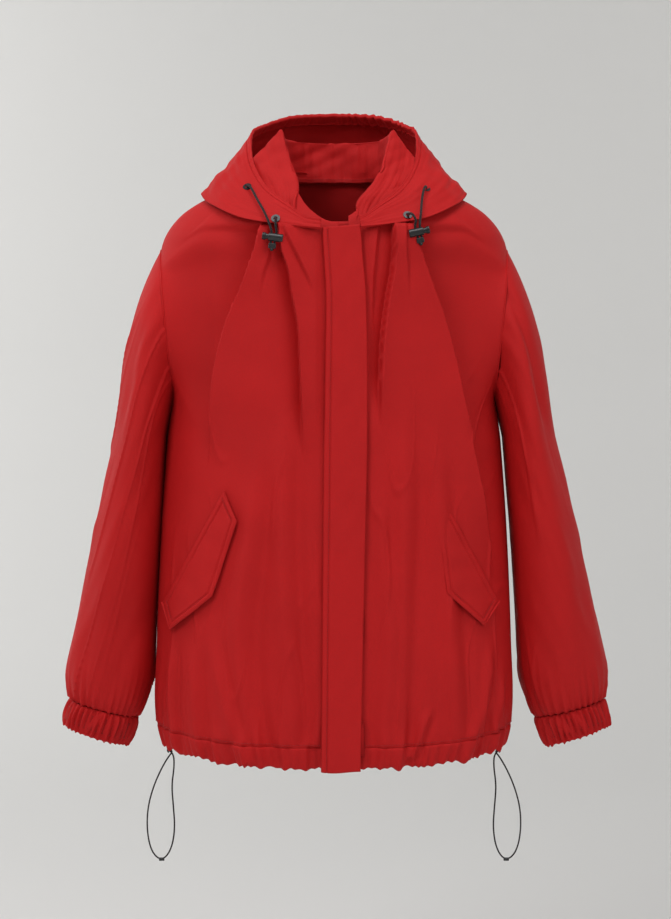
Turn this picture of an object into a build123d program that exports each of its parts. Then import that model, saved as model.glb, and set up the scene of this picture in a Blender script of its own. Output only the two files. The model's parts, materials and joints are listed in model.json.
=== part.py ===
from build123d import *
import math
import os

os.makedirs("parts", exist_ok=True)

# Hooded hardshell jacket, hung at its back neck. Millimetres, +Z up, the front faces -Y and
# +X is the wearer's left. The origin is the middle of the neck opening, at the height where a
# hanger or a dress form carries the shoulders.

# ---- driving dimensions ----
CLOTH = 2.0              # wall of every shell that stands for cloth
HEM_Z = -716.0           # lowest edge of the hem
FRONT_TOP_Z = -46.0      # top of the straight front edge, at the throat
FRONT_TOP_Y = -122.0     # the front edge leans out from here ...
FRONT_FOOT_Y = -140.0    # ... to here at the hem
ZIP_X = 12.0             # the front closes this far to the wearer's left of mid width
ZIP_GAP = 7.0            # half of the gap between the front panels, which the zip fills
FLAP_HINGE_X = -13.0     # sewn edge of the storm flap
FLAP_WIDTH = 52.0
SLEEVE_AXIS = (226.0, 0.0, -58.0)     # shoulder tip, where a sleeve swings out from
HOOD_AXIS = (0.0, -118.0, -70.0)      # throat, about which the lying hood is raised
CORD_D = 3.0             # hood cord
LOOP_CORD_D = 2.0        # elastic hem cord

# Level sections of the body: height, half width, y of the front, y of the back.
BODY_RINGS = [
    (HEM_Z, 219, -140, 112), (-674, 229, -139, 116), (-560, 230, -135.8, 118),
    (-400, 223, -131.5, 120), (-250, 212, -127.5, 122), (-130, 203, -124.3, 118),
    (-85, 203, -123.0, 110), (-50, 222, -121.5, 98), (-25, 209, -112, 88),
    (0, 178, -100, 80), (22, 130, -88, 74), (40, 92, -78, 70),
]

# Sections of the wearer's left sleeve: x, z, half width, half depth, lean in degrees.
SLEEVE_RINGS = [
    (222.7, -66, 6.5, 50, 0), (220.2, -80, 12.2, 66, 0), (225.5, -130, 19, 84, 0),
    (237, -200, 25, 90, 0), (252.7, -300, 33.2, 88, 0), (271.7, -434, 43.2, 80, 0),
    (285.4, -540, 52.4, 68, 0), (292.8, -610, 55.5, 60, 4), (301, -650, 46, 50, 15),
]
CUFF_RINGS = [(301, -650, 47, 51, 15), (304, -661, 49, 52, 16), (311, -683, 46, 47, 18)]

# The hood lies open round the neck. Each section stands upright at an angle from the back and
# runs from the brim, out over the shoulder to the fold, and back under: (radius, height).
HOOD_CENTRE_Y = -14.0
HOOD_SECTIONS = {
    0: [(104, 134), (138, 108), (167, 30), (154, -92), (136, -8)],
    14: [(104, 133), (138, 107), (167, 29), (154, -86), (136, -8)],
    32: [(105, 129), (138, 102), (168, 24), (154, -64), (138, -2)],
    60: [(107, 112), (130, 87), (162, 34), (170, -2), (152, 18)],
    76: [(108, 102), (126, 76), (154, 38), (172, 10), (154, 24)],
    90: [(108, 90), (122, 70), (146, 41), (172, 14), (155, 26)],
    112: [(110, 48), (122, 38), (148, 18), (168, -7), (159, 1)],
    132: [(112, 13), (121, 4), (136, -12), (151, -29), (144, -26)],
    150: [(113.5, -11), (119, -17), (123, -26), (129, -37), (125, -38)],
    162: [(115, -27), (118, -31), (120.5, -35), (123, -40), (120.5, -42)],
}
BRIM_FOLD = 2.4          # half thickness of the doubled brim with its cord inside

PIECES = {}


def put(name, shape):
    """Write one piece as parts/name.step."""
    solids = shape.solids()
    body = solids[0] if len(solids) == 1 else Compound(children=list(solids))
    body.label = name
    export_step(body, f"parts/{name}.step")
    PIECES[name] = sum(s.volume for s in solids)


def both_sides(name, shape):
    """Write a piece of the wearer's left side, and its mirror image for the right."""
    put(name + "_left", shape)
    put(name + "_right", mirror(shape, about=Plane.YZ))


def block(x0, x1, y0, y1, z0, z1):
    return Pos((x0 + x1) / 2, (y0 + y1) / 2, (z0 + z1) / 2) * Box(x1 - x0, y1 - y0, z1 - z0)


# ---- body ----
def body_solid(inset, grow_ends=0.0):
    """The body's outline as a solid, drawn in by inset all round."""
    rings = []
    last = len(BODY_RINGS) - 1
    for i, (z, half, front, back) in enumerate(BODY_RINGS):
        level = z - grow_ends if i == 0 else z + grow_ends if i == last else z
        ring = Rot(0, 0, 90) * Ellipse((back - front) / 2 - inset, half - inset)
        rings.append(Pos(0, (front + back) / 2, level) * ring)
    return loft(rings)


def neck_tool():
    """Upright oval prism that opens the neck, 140 wide and 185 deep."""
    return extrude(Pos(0, -24.5, -80) * Ellipse(70, 92.5), 220)


def armhole_tool(start_x):
    """Oval prism along X, 130 long, that opens an armhole from start_x outwards."""
    oval = Plane.YZ * Ellipse(64, 84)
    return Pos(start_x, 0, -170) * extrude(oval, 130)


def body_panels():
    shell = body_solid(0) - body_solid(CLOTH, 1.0) - neck_tool()
    shell = shell - armhole_tool(100) - armhole_tool(-230)
    seam_y = -2.0
    below_neck = block(-300, 300, -300, seam_y, HEM_Z + 32, 100)
    fronts = shell & below_neck
    put("front_panel_left", fronts & block(ZIP_X + ZIP_GAP, 300, -300, 0, -800, 100))
    put("front_panel_right", fronts & block(-300, ZIP_X - ZIP_GAP, -300, 0, -800, 100))
    put("back_panel", shell & block(-300, 300, seam_y, 300, HEM_Z + 32, 100))
    hem = shell & block(-300, 300, -300, 300, HEM_Z - 1, HEM_Z + 32)
    hem -= block(ZIP_X - ZIP_GAP, ZIP_X + ZIP_GAP, -300, 0, -800, 0)
    put("hem_channel", hem)
    inner = body_solid(CLOTH + 0.3, 0) - body_solid(CLOTH + 2.3, 1.0)
    elastic = inner & block(-300, 300, -90, 300, HEM_Z + 8, HEM_Z + 24)
    put("hem_elastic", elastic)


# ---- collar ----
def collar():
    """Standing collar round the neck opening, its front ends falling open in a V."""
    oval = Pos(0, -24.5, -60) * Ellipse(69.9, 92.4)
    hole = Pos(0, -24.5, -60) * Ellipse(67.9, 90.4)
    ring = extrude(oval - hole, 148)
    lean = math.degrees(math.atan2(78, 185))
    under = Pos(0, -24.5, -3) * Rot(lean, 0, 0) * Pos(0, 0, -100) * Box(400, 400, 200)
    notch = Polygon((-14, -60), (34, -60), (34, -20), (82, 90), (-62, 90), (-14, -20), align=None)
    front_v = Pos(0, -20, 0) * extrude(Plane.XZ * notch, 200)
    put("stand_collar", ring - under - front_v)
    band = extrude(Pos(0, -24.5, 38) * (Ellipse(67.6, 90.1) - Ellipse(66.4, 88.9)), 10)
    put("neck_tape", band & block(-80, 80, 20, 90, 0, 90))


# ---- zip and storm flap, drawn on the leaning front plane ----
FRONT_LEN = math.hypot(FRONT_FOOT_Y - FRONT_TOP_Y, FRONT_TOP_Z - HEM_Z)
LEAN_Y = (FRONT_TOP_Y - FRONT_FOOT_Y) / FRONT_LEN
LEAN_Z = (FRONT_TOP_Z - HEM_Z) / FRONT_LEN
FRONT = Plane(origin=(0, FRONT_TOP_Y, FRONT_TOP_Z), x_dir=(1, 0, 0), z_dir=(0, -LEAN_Z, LEAN_Y))


def on_front(x0, x1, up0, up1, out0, out1):
    """Block on the front plane: across, along the front edge (0 at its top) and outwards."""
    return FRONT * block(x0, x1, up0, up1, out0, out1)


TOOTH_COUNT = 53
TOOTH_PITCH = 12.0


def zip_pieces():
    """Tapes, rows of teeth, stops, box, guard, and the slider with its pull.

    The rows stand 1.8 apart so that the slider's post can pass between them.
    """
    low = -FRONT_LEN + 12
    for side, sign in (("left", 1), ("right", -1)):
        edges = sorted((ZIP_X + sign * 2.2, ZIP_X + sign * 17))
        put(f"zip_tape_{side}", on_front(*edges, low, -4, -6.4, -5.4))
        teeth = sorted((ZIP_X + sign * 0.9, ZIP_X + sign * 3.4))
        row = on_front(*teeth, low + 14, -8, -5.3, -3.7)
        for i in range(TOOTH_COUNT):
            start = -12 - i * TOOTH_PITCH
            row += on_front(*teeth, start - 6, start, -3.7, -3.1)
        put(f"zip_teeth_{side}", row)
    stops = on_front(ZIP_X - 4.2, ZIP_X - 0.4, -7.4, -4, -5.3, -2.6)
    stops += on_front(ZIP_X + 0.4, ZIP_X + 4.2, -7.4, -4, -5.3, -2.6)
    put("zip_top_stops", stops)
    put("zip_retainer_box", on_front(ZIP_X - 4.5, ZIP_X + 4.5, low + 1, low + 13, -5.3, -1.6))
    guard = on_front(ZIP_X - 22, ZIP_X + 22, low, -4, -13.5, -12.5)
    put("zip_guard", guard)
    slider_top, slider_low = -9.0, -23.0
    slider = on_front(ZIP_X - 5.6, ZIP_X + 5.6, slider_low, slider_top, -2.7, -1.2)
    slider += on_front(ZIP_X - 5.6, ZIP_X + 5.6, slider_low, slider_top, -9.0, -7.5)
    slider += on_front(ZIP_X - 0.6, ZIP_X + 0.6, slider_top - 4, slider_top, -9.0, -1.2)
    slider += on_front(ZIP_X - 1.6, ZIP_X + 1.6, slider_low + 3, slider_top - 2, -1.2, -0.2)
    peg = FRONT * Pos(ZIP_X, slider_top - 4.5, 1.3) * Cylinder(1.27, 3.2)
    put("zip_slider", slider + peg)
    plate = FRONT * Pos(ZIP_X, slider_top - 4.5 - 13, 1.9) * Box(6, 34, 1.2)
    eye = FRONT * Pos(ZIP_X, slider_top - 4.5, 1.9) * Cylinder(1.35, 4)
    grip = FRONT * Pos(ZIP_X, slider_top - 4.5 - 24, 2.0) * Box(8, 14, 1.4)
    put("zip_pull", plate + grip - eye)


def storm_flap():
    top, low = -2.0, -FRONT_LEN + 1.5
    flap = on_front(FLAP_HINGE_X + 0.5, FLAP_HINGE_X + FLAP_WIDTH, low, top, 5.0, 7.0)
    flap = fillet(flap.edges().filter_by(Axis(FRONT.origin, FRONT.z_dir)), 3)
    put("storm_flap", flap)
    seam = on_front(FLAP_HINGE_X - 6, FLAP_HINGE_X, low, top, 0.6, 4.8)
    put("flap_seam_fold", seam)
    hooks, loops = None, None
    for i in range(5):
        start = -50 - i * 140
        hook = on_front(29, 37, start - 40, start, 3.1, 5.0)
        loop = on_front(28, 38, start - 42, start + 2, -0.8, 2.7)
        hooks = hook if hooks is None else hooks + hook
        loops = loop if loops is None else loops + loop
    put("flap_hook_patches", hooks)
    put("flap_loop_patches", loops)


# ---- pockets ----
POCKET_TOP = Vector(136, -115, -368)
POCKET_LOW = Vector(216, -58, -511)
POCKET_ALONG = (POCKET_LOW - POCKET_TOP).normalized()
POCKET_FACE = Vector(0.6, -0.8, 0)       # roughly square to the cloth at the pocket
POCKET_OUT = (POCKET_FACE - POCKET_ALONG * POCKET_FACE.dot(POCKET_ALONG)).normalized()
FLAP_STANDOFF = 9.0
FLAP_THICK = 1.8


def pockets():
    """Slanted pocket: a pointed flap sewn along its outer edge, a welt and a flat bag.

    In the pocket's plane x runs down the sewn edge and -y towards the front of the body.
    """
    plane = Plane(origin=POCKET_TOP, x_dir=POCKET_ALONG, z_dir=POCKET_OUT)
    length = (POCKET_LOW - POCKET_TOP).length
    outline = [(0, -1), (length, -1), (length + 16, -28), (134, -58), (27, -40)]
    flap = extrude(Polygon(*outline, align=None), FLAP_THICK)
    both_sides("pocket_flap", plane * Pos(0, 0, FLAP_STANDOFF) * flap)
    strip = block(4, length - 4, -0.2, 5, -14, FLAP_STANDOFF - 0.4)
    both_sides("pocket_welt", plane * strip - body_solid(-0.4))
    bag = body_solid(CLOTH + 0.8) & block(80, 190, -200, -20, -560, -372)
    both_sides("pocket_bag", bag - body_solid(CLOTH + 4.0))
    hinge = POCKET_TOP + POCKET_OUT * (FLAP_STANDOFF + FLAP_THICK / 2)
    print("pocket flap hinge", hinge, "along", POCKET_ALONG)


# ---- sleeves ----
def ring_face(x, z, half, depth, lean):
    turn = math.radians(lean)
    place = Plane(origin=(x, 0, z), x_dir=(math.cos(turn), 0, math.sin(turn)),
                  z_dir=(-math.sin(turn), 0, math.cos(turn)))
    return place * Ellipse(half, depth)


def tube(rings, wall):
    outer = loft([ring_face(*r) for r in rings])
    inner = [(x, z, half - wall, depth - wall, lean) for x, z, half, depth, lean in rings]
    return outer, inner


def sleeve():
    outer, inner = tube(SLEEVE_RINGS, CLOTH)
    x, z, half, depth, lean = inner[0]
    inner[0] = (x, z - 3, half, depth, lean)
    hollow = loft([ring_face(*r) for r in inner])
    oval = extrude(Plane.YZ * Ellipse(64, 84), 32)
    both_sides("sleeve", outer - hollow - Pos(192, 0, -170) * oval)
    rim = Plane.YZ * (Ellipse(64, 84) - Ellipse(62, 82))
    rim = Pos(140, 0, -170) * extrude(rim, 64)
    both_sides("armhole_seam", rim - body_solid(0))
    cuff, cuff_inner = tube(CUFF_RINGS, CLOTH)
    cuff -= loft([ring_face(*r) for r in cuff_inner])
    both_sides("cuff", cuff)
    band = [(303, -656, 44, 48, 16), (308.5, -673, 43.6, 46, 17)]
    ring, ring_inner = tube(band, 1.5)
    ring -= loft([ring_face(*r) for r in ring_inner])
    both_sides("cuff_elastic", ring)


# ---- hood ----
def hood_point(angle, radius, z):
    turn = math.radians(angle)
    return Vector(radius * math.sin(turn), HOOD_CENTRE_Y + radius * math.cos(turn), z)


# Eyelets of each side: between which sections and how far, on which run of them and how far.
EYELET_HOLE = 2.6
HOOD_EYELETS = {
    "left": ((112, 132, 0.42, 1, 0.66), (132, 150, 0.36, 2, 0.60)),
    "right": ((112, 132, 0.50, 1, 0.42), (132, 150, 0.80, 2, 0.62)),
}


def hood_eyelet_places(side):
    """Middle and outward direction of a side's upper and lower eyelet, on the hood's cloth."""
    places = []
    for first, second, across, run, down in HOOD_EYELETS[side]:
        ends = []
        for angle in (first, second):
            (r0, z0), (r1, z1) = HOOD_SECTIONS[angle][run:run + 2]
            ends.append((hood_point(angle, r0, z0), hood_point(angle, r1, z1)))
        high = ends[0][0] * (1 - across) + ends[1][0] * across
        low = ends[0][1] * (1 - across) + ends[1][1] * across
        start = ends[0][0] * (1 - down) + ends[0][1] * down
        end = ends[1][0] * (1 - down) + ends[1][1] * down
        out = (end - start).cross(low - high).normalized()
        spot = high * (1 - down) + low * down
        if side == "right":
            spot, out = Vector(-spot.X, spot.Y, spot.Z), Vector(-out.X, out.Y, out.Z)
        places.append((spot, out if out.Y < 0 else out * -1))
    return places


def hood_wall(angle, points, half):
    """Upright face of one section: the cloth's line thickened by half to each side."""
    line = [Vector(r, 0, z) for r, z in points]
    runs = [(b - a).normalized() for a, b in zip(line, line[1:])]
    sides = []
    for before, after in zip([runs[0]] + runs, runs + [runs[-1]]):
        mean = before + after
        reach = min(half * 2 / mean.length, half * 2)
        mean = mean.normalized()
        sides.append(Vector(-mean.Z, 0, mean.X) * reach)
    ring = [p + s for p, s in zip(line, sides)]
    ring += [p - s for p, s in reversed(list(zip(line, sides)))]
    corners = [hood_point(angle, p.X, p.Z) for p in ring]
    return Face(Wire.make_polygon(corners, close=True))


def hood_panel(angles):
    """Ruled lofts from section to section, joined."""
    faces = [hood_wall(a, HOOD_SECTIONS[a], CLOTH / 2) for a in angles]
    panel = loft(faces[:2], ruled=True)
    for pair in zip(faces[1:], faces[2:]):
        panel += loft(pair, ruled=True)
    return panel


def hood():
    side = hood_panel([32, 60, 76, 90, 112, 132, 150, 162])
    for name, panel in (("left", side), ("right", mirror(side, about=Plane.YZ))):
        for spot, out in hood_eyelet_places(name):
            panel -= Plane(origin=spot, z_dir=out) * Cylinder(EYELET_HOLE + 0.9, 10)
        put(f"hood_side_{name}", panel)
    centre = hood_panel([0, 14, 32])
    put("hood_centre", centre + mirror(centre, about=Plane.YZ))
    faces = []
    for angle in HOOD_SECTIONS:
        (r, z), (r_next, z_next) = HOOD_SECTIONS[angle][:2]
        run = math.hypot(r_next - r, z_next - z)
        up_r, up_z = (r - r_next) / run, (z - z_next) / run
        spot = hood_point(angle, r + up_r * (BRIM_FOLD + 1.2), z + up_z * (BRIM_FOLD + 1.2))
        turn = math.radians(angle)
        place = Plane(origin=spot, x_dir=(math.sin(turn), math.cos(turn), 0),
                      z_dir=(math.cos(turn), -math.sin(turn), 0))
        faces.append(place * RegularPolygon(BRIM_FOLD, 8))
    rim = loft([Face(f.face().outer_wire()) for f in faces], ruled=True)
    put("hood_brim_channel", rim + mirror(rim, about=Plane.YZ))


# ---- hood drawcords with their locks ----
# For each side: the lock's centre, how far its outer end is tipped up, and the cord's free
# points between the eyelets and the lock.
CORD_SETS = {
    "left": {
        "side": 1, "lock": Vector(106, -128, -47), "tip": 12,
        "down": [(113.5, -92.5, 13.0), (110.0, -104.0, -4.0), (108.5, -119.0, -22.0)],
        "up": [(102.5, -130.0, -33.0), (97.0, -128.5, -24.0)],
    },
    "right": {
        "side": -1, "lock": Vector(-76, -131, -54), "tip": 8,
        "down": [(-104.5, -93.0, 13.5), (-96.5, -107.5, -3.5), (-86.0, -123.5, -22.0)],
        "up": [(-72.5, -132.5, -39.5), (-72.0, -131.0, -29.5)],
    },
}
LOCK_R = 5.2
STRANDS = -1.0           # middle of the two cord strands along the lock, from its centre
SLOT_HALF = 4.8
BUTTON_TRAVEL = 2.8


def lock_frame(cords):
    """Frame at a lock's centre: x towards its button, z up along the cord."""
    turn = math.radians(cords["tip"]) * cords["side"]
    side = cords["side"]
    along = Vector(math.cos(turn) * side, 0, math.sin(turn) * side)
    return Plane(origin=cords["lock"], x_dir=along, z_dir=Vector(-math.sin(turn), 0, math.cos(turn)))


def bend_radii(points, least):
    """As large an arc at each corner as its two runs allow."""
    radii = []
    for before, corner, after in zip(points, points[1:], points[2:]):
        run_in, run_out = corner - before, after - corner
        half_turn = math.radians(run_in.get_angle(run_out)) / 2
        radii.append(max(least, 0.45 * min(run_in.length, run_out.length) / math.tan(half_turn)))
    return radii


def cord_tube(name, points, diameter, least):
    """Round cord along straight runs joined by tangent arcs."""
    points = [Vector(*p) if isinstance(p, tuple) else p for p in points]
    radii = bend_radii(points, least)
    path = FilletPolyline(*points, radius=radii)
    start = Plane(origin=path @ 0, z_dir=path % 0)
    tube = sweep(start * Circle(diameter / 2), path=path)
    section = math.pi * diameter ** 2 / 4
    print(f"{name}: length {path.length:.1f}, smallest radius {min(radii):.1f}, "
          f"volume over section x length {tube.volume / (section * path.length):.4f}")
    return tube


def hood_cord_points(side, cords):
    """Upper eyelet, down through the lock, round in the cord end and up to the lower eyelet."""
    frame = lock_frame(cords)
    spot = lambda x, z: frame.from_local_coords(Vector(STRANDS + x, 0, z))
    (top, top_out), (low, low_out) = hood_eyelet_places(side)
    return ([top + top_out * 0.6, top + top_out * 5.5] + [Vector(*p) for p in cords["down"]]
            + [spot(3.0, 8.5), spot(2.7, 0.5), spot(2.4, -5.5), spot(2.3, -11.0)]
            + [spot(-2.3, -11.0), spot(-2.4, -5.5), spot(-2.7, 0.5), spot(-3.0, 8.5)]
            + [Vector(*p) for p in cords["up"]] + [low + low_out * 4.5, low + low_out * 0.6])


def eyelet(spot, out, hole, rim):
    """Pressed ring: a flanged washer with a short throat through the cloth."""
    place = Plane(origin=spot, z_dir=out)
    ring = Pos(0, 0, 1.9) * Cylinder(rim, 1.0) + Pos(0, 0, 0.9) * Cylinder(hole + 0.8, 1.2)
    return place * (ring - Cylinder(hole, 8))


def lock_pieces(side, cords):
    frame = lock_frame(cords)
    across = Rot(0, 90, 0)
    barrel = Pos(-3.9, 0, 0) * across * Cylinder(LOCK_R, 18.2)
    barrel = fillet(barrel.edges(), 1.0)
    barrel -= Pos(-2.9, 0, 0) * across * Cylinder(3.8, 18.2)
    slot = Pos(STRANDS, 0, 0) * Box(2 * SLOT_HALF, 3.8, 14)
    put(f"cord_lock_{side}", frame * (barrel - slot))
    stem = Pos(0.5, 0, 0) * across * Cylinder(3.6, 16.2)
    stem -= Pos(STRANDS + BUTTON_TRAVEL / 2 + 0.1, 0, 0) * Box(2 * SLOT_HALF + BUTTON_TRAVEL + 0.2, 3.9, 14)
    head = Pos(10.8, 0, 0) * across * Cylinder(4.6, 4.4)
    head = fillet(head.edges(), 0.6)
    for i in range(18):
        head -= Rot(i * 20, 0, 0) * Pos(10.8, 0, 4.7) * Box(3.0, 0.6, 0.7)
    put(f"lock_button_{side}", frame * (stem + head))
    coil = Helix(pitch=1.1, height=3.3, radius=2.6)
    wire = sweep(Plane(origin=coil @ 0, z_dir=coil % 0) * Circle(0.3), path=coil)
    put(f"lock_spring_{side}", frame * Pos(-11.5, 0, 0) * across * wire)


def hood_cords():
    for side, cords in CORD_SETS.items():
        upper, lower = hood_eyelet_places(side)
        rings = eyelet(*upper, EYELET_HOLE, 5.6) + eyelet(*lower, EYELET_HOLE, 5.6)
        put(f"hood_eyelets_{side}", rings)
        tube = cord_tube(f"hood cord {side}", hood_cord_points(side, cords), CORD_D, 2.2)
        put(f"hood_cord_{side}", tube)
        lock_pieces(side, cords)
        bell = Pos(STRANDS, 0, -10.8) * Box(9.6, 5.6, 6.6)
        bell = fillet(bell.edges(), 1.2)
        bell += Pos(STRANDS, 0, -15.0) * Sphere(2.4)
        put(f"cord_end_{side}", lock_frame(cords) * bell - tube)


# ---- hem cord loops ----
HEM_LOOP = [
    (211.5, -30, -704), (206.0, -32, -707), (205.0, -33, -724), (208.5, -34, -748),
    (206.0, -35, -775), (204.0, -36, -802), (207.5, -36, -826), (216.0, -36, -841),
    (226.0, -36, -842), (235.5, -36, -829), (240.0, -36, -804), (239.0, -35, -776),
    (232.0, -33, -750), (222.5, -28, -728), (213.0, -20, -712), (207.5, -15, -706.5),
    (213.5, -14, -703.5),
]


def hem_loops():
    """Elastic cord in a loop below the hem at each side, with a small bead at its lowest point."""
    tube = cord_tube("hem cord loop", HEM_LOOP, LOOP_CORD_D, LOOP_CORD_D)
    both_sides("hem_cord_loop", tube)
    bead = Pos(221, -36, -842.3) * Rot(0, 90, 0) * Cylinder(2.2, 7)
    both_sides("hem_cord_bead", fillet(bead.edges(), 0.8) - tube)
    rings = None
    for spot, out in ((Vector(214.5, -30, -703), Vector(-1, -0.2, 0)),
                      (Vector(216.0, -14, -703), Vector(-1, -0.05, 0))):
        ring = eyelet(spot, out, 1.6, 3.6)
        ring += mirror(ring, about=Plane.YZ)
        rings = ring if rings is None else rings + ring
    put("hem_eyelets", rings)


for make in (body_panels, collar, zip_pieces, storm_flap, pockets, sleeve, hood, hood_cords,
             hem_loops):
    make()
for piece, volume in PIECES.items():
    print(f"{piece:24s} {volume / 1000:9.2f} cm3")
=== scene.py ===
import json
import bpy
import numpy as np
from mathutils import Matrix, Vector


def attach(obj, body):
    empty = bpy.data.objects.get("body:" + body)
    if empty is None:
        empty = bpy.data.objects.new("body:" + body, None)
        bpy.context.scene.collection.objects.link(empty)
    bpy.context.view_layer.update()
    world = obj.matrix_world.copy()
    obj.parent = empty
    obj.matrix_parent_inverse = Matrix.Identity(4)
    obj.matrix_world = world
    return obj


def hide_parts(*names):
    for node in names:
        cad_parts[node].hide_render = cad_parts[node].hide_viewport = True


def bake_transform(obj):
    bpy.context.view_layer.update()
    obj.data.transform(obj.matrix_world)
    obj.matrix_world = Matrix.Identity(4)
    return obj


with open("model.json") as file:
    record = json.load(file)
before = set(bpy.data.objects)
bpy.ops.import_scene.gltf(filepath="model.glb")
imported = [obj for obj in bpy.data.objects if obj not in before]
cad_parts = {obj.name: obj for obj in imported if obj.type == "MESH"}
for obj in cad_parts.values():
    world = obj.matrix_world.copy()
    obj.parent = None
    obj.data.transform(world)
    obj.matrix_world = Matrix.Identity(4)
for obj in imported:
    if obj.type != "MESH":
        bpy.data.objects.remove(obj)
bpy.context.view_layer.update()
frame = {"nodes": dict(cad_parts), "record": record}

NODES = frame["nodes"]

# Lengths below are in millimetres, as a cutter would write them; mesh() turns them into metres.
# -Y is the front, +Z is up and +X is the wearer's left.
MM = 0.001
CLOTH = 0.7              # thickness of one layer of the shell cloth
DOUBLE = 1.5             # thickness of a folded and stitched layer


def place(name, data):
    """New object in the scene that holds data."""
    obj = bpy.data.objects.new(name, data)
    bpy.context.collection.objects.link(obj)
    return obj


def spots(x, y, z):
    """Points from their three coordinates, spread over each other's rows and columns."""
    return np.stack(np.broadcast_arrays(x, y, z), -1)


def unit(v):
    """v divided by its length, along its last axis."""
    return v / np.maximum(np.linalg.norm(v, axis=-1, keepdims=True), 1e-9)


def run_along(path):
    """Distance of each point of a path from its first, along the path."""
    return np.concatenate([[0], np.cumsum(np.linalg.norm(np.diff(path, axis=0), axis=1))])


def grid_quads(rows, cols, wrap=True):
    """Corners of a grid's faces, rows by columns; wrap joins the last column to the first."""
    i = np.arange(rows - 1)[:, None] * cols
    j = np.arange(cols if wrap else cols - 1)[None, :]
    k = (j + 1) % cols
    return np.stack([i + j, i + k, i + cols + k, i + cols + j], -1)


# ---- camera ----
EYE_HEIGHT = -329.6
EYE_BACK = 2820.0


def camera():
    """Level camera straight in front, a little right of mid width."""
    data = bpy.data.cameras.new("camera")
    data.lens = 85.0
    data.sensor_width = 36.0
    data.clip_end = 60.0
    eye = place("camera", data)
    eye.location = (0.002, -EYE_BACK * MM, EYE_HEIGHT * MM)
    eye.rotation_euler = (np.pi / 2, 0.0, 0.0)
    bpy.context.scene.camera = eye


camera()


# ---- materials ----
def node(tree, kind, **values):
    made = tree.nodes.new(kind)
    for name, value in values.items():
        if hasattr(made, name):
            setattr(made, name, value)
        else:
            made.inputs[name.replace("_", " ")].default_value = value
    return made


def finish(name, color, roughness, sheen=0.0, coat=0.0, metallic=0.0, weave=0.0, pitch=0.0006,
           blotch=0.12, grain=0.25, grain_size=900.0, relief=0.25, space="UV"):
    """Principled surface whose colour wanders a little over two sizes of noise, with a woven
    relief of two crossing waves where weave is set, and a fine grain in bump and roughness."""
    made = bpy.data.materials.new(name)
    made.use_nodes = True
    tree = made.node_tree
    tree.nodes.clear()
    out = node(tree, "ShaderNodeOutputMaterial")
    skin = node(tree, "ShaderNodeBsdfPrincipled", Roughness=roughness, Metallic=metallic)
    skin.inputs["Sheen Weight"].default_value = sheen
    skin.inputs["Sheen Roughness"].default_value = 0.45
    skin.inputs["Sheen Tint"].default_value = (1.0, 0.62, 0.6, 1.0)
    skin.inputs["Coat Weight"].default_value = coat
    skin.inputs["Specular IOR Level"].default_value = 0.22 if weave else 0.4
    coords = node(tree, "ShaderNodeTexCoord")
    link = tree.links.new
    broad = node(tree, "ShaderNodeTexNoise", Scale=9.0, Detail=4.0, Roughness=0.6)
    link(coords.outputs["Object"], broad.inputs["Vector"])
    fine = node(tree, "ShaderNodeTexNoise", Scale=grain_size, Detail=3.0, Roughness=0.7)
    link(coords.outputs["Object"], fine.inputs["Vector"])
    dark = [c * (1 - blotch) for c in color]
    light = [min(1.0, c * (1 + blotch)) for c in color]
    ramp = node(tree, "ShaderNodeValToRGB")
    ramp.color_ramp.elements[0].position = 0.3
    ramp.color_ramp.elements[1].position = 0.7
    ramp.color_ramp.elements[0].color = (*dark, 1.0)
    ramp.color_ramp.elements[1].color = (*light, 1.0)
    link(broad.outputs["Fac"], ramp.inputs["Fac"])
    speck = node(tree, "ShaderNodeMixRGB", blend_type="OVERLAY")
    speck.inputs["Fac"].default_value = grain
    link(ramp.outputs["Color"], speck.inputs["Color1"])
    link(fine.outputs["Color"], speck.inputs["Color2"])
    link(speck.outputs["Color"], skin.inputs["Base Color"])
    rough = node(tree, "ShaderNodeMapRange")
    rough.inputs["To Min"].default_value = max(0.05, roughness - 0.08)
    rough.inputs["To Max"].default_value = min(1.0, roughness + 0.08)
    link(fine.outputs["Fac"], rough.inputs["Value"])
    link(rough.outputs["Result"], skin.inputs["Roughness"])
    height = fine.outputs["Fac"]
    if weave:
        crossing = node(tree, "ShaderNodeMath", operation="MAXIMUM")
        for index, axis in enumerate("XY"):
            thread = node(tree, "ShaderNodeTexWave", bands_direction=axis)
            thread.inputs["Scale"].default_value = 0.314 / pitch
            thread.inputs["Distortion"].default_value = 0.35
            thread.inputs["Detail Scale"].default_value = 1.6
            link(coords.outputs[space], thread.inputs["Vector"])
            link(thread.outputs["Fac"], crossing.inputs[index])
        both = node(tree, "ShaderNodeMath", operation="MULTIPLY_ADD")
        link(crossing.outputs[0], both.inputs[0])
        both.inputs[1].default_value = weave
        link(fine.outputs["Fac"], both.inputs[2])
        height = both.outputs[0]
    bump = node(tree, "ShaderNodeBump", Strength=relief, Distance=0.0004)
    link(height, bump.inputs["Height"])
    link(bump.outputs["Normal"], skin.inputs["Normal"])
    link(skin.outputs["BSDF"], out.inputs["Surface"])
    return made


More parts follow.
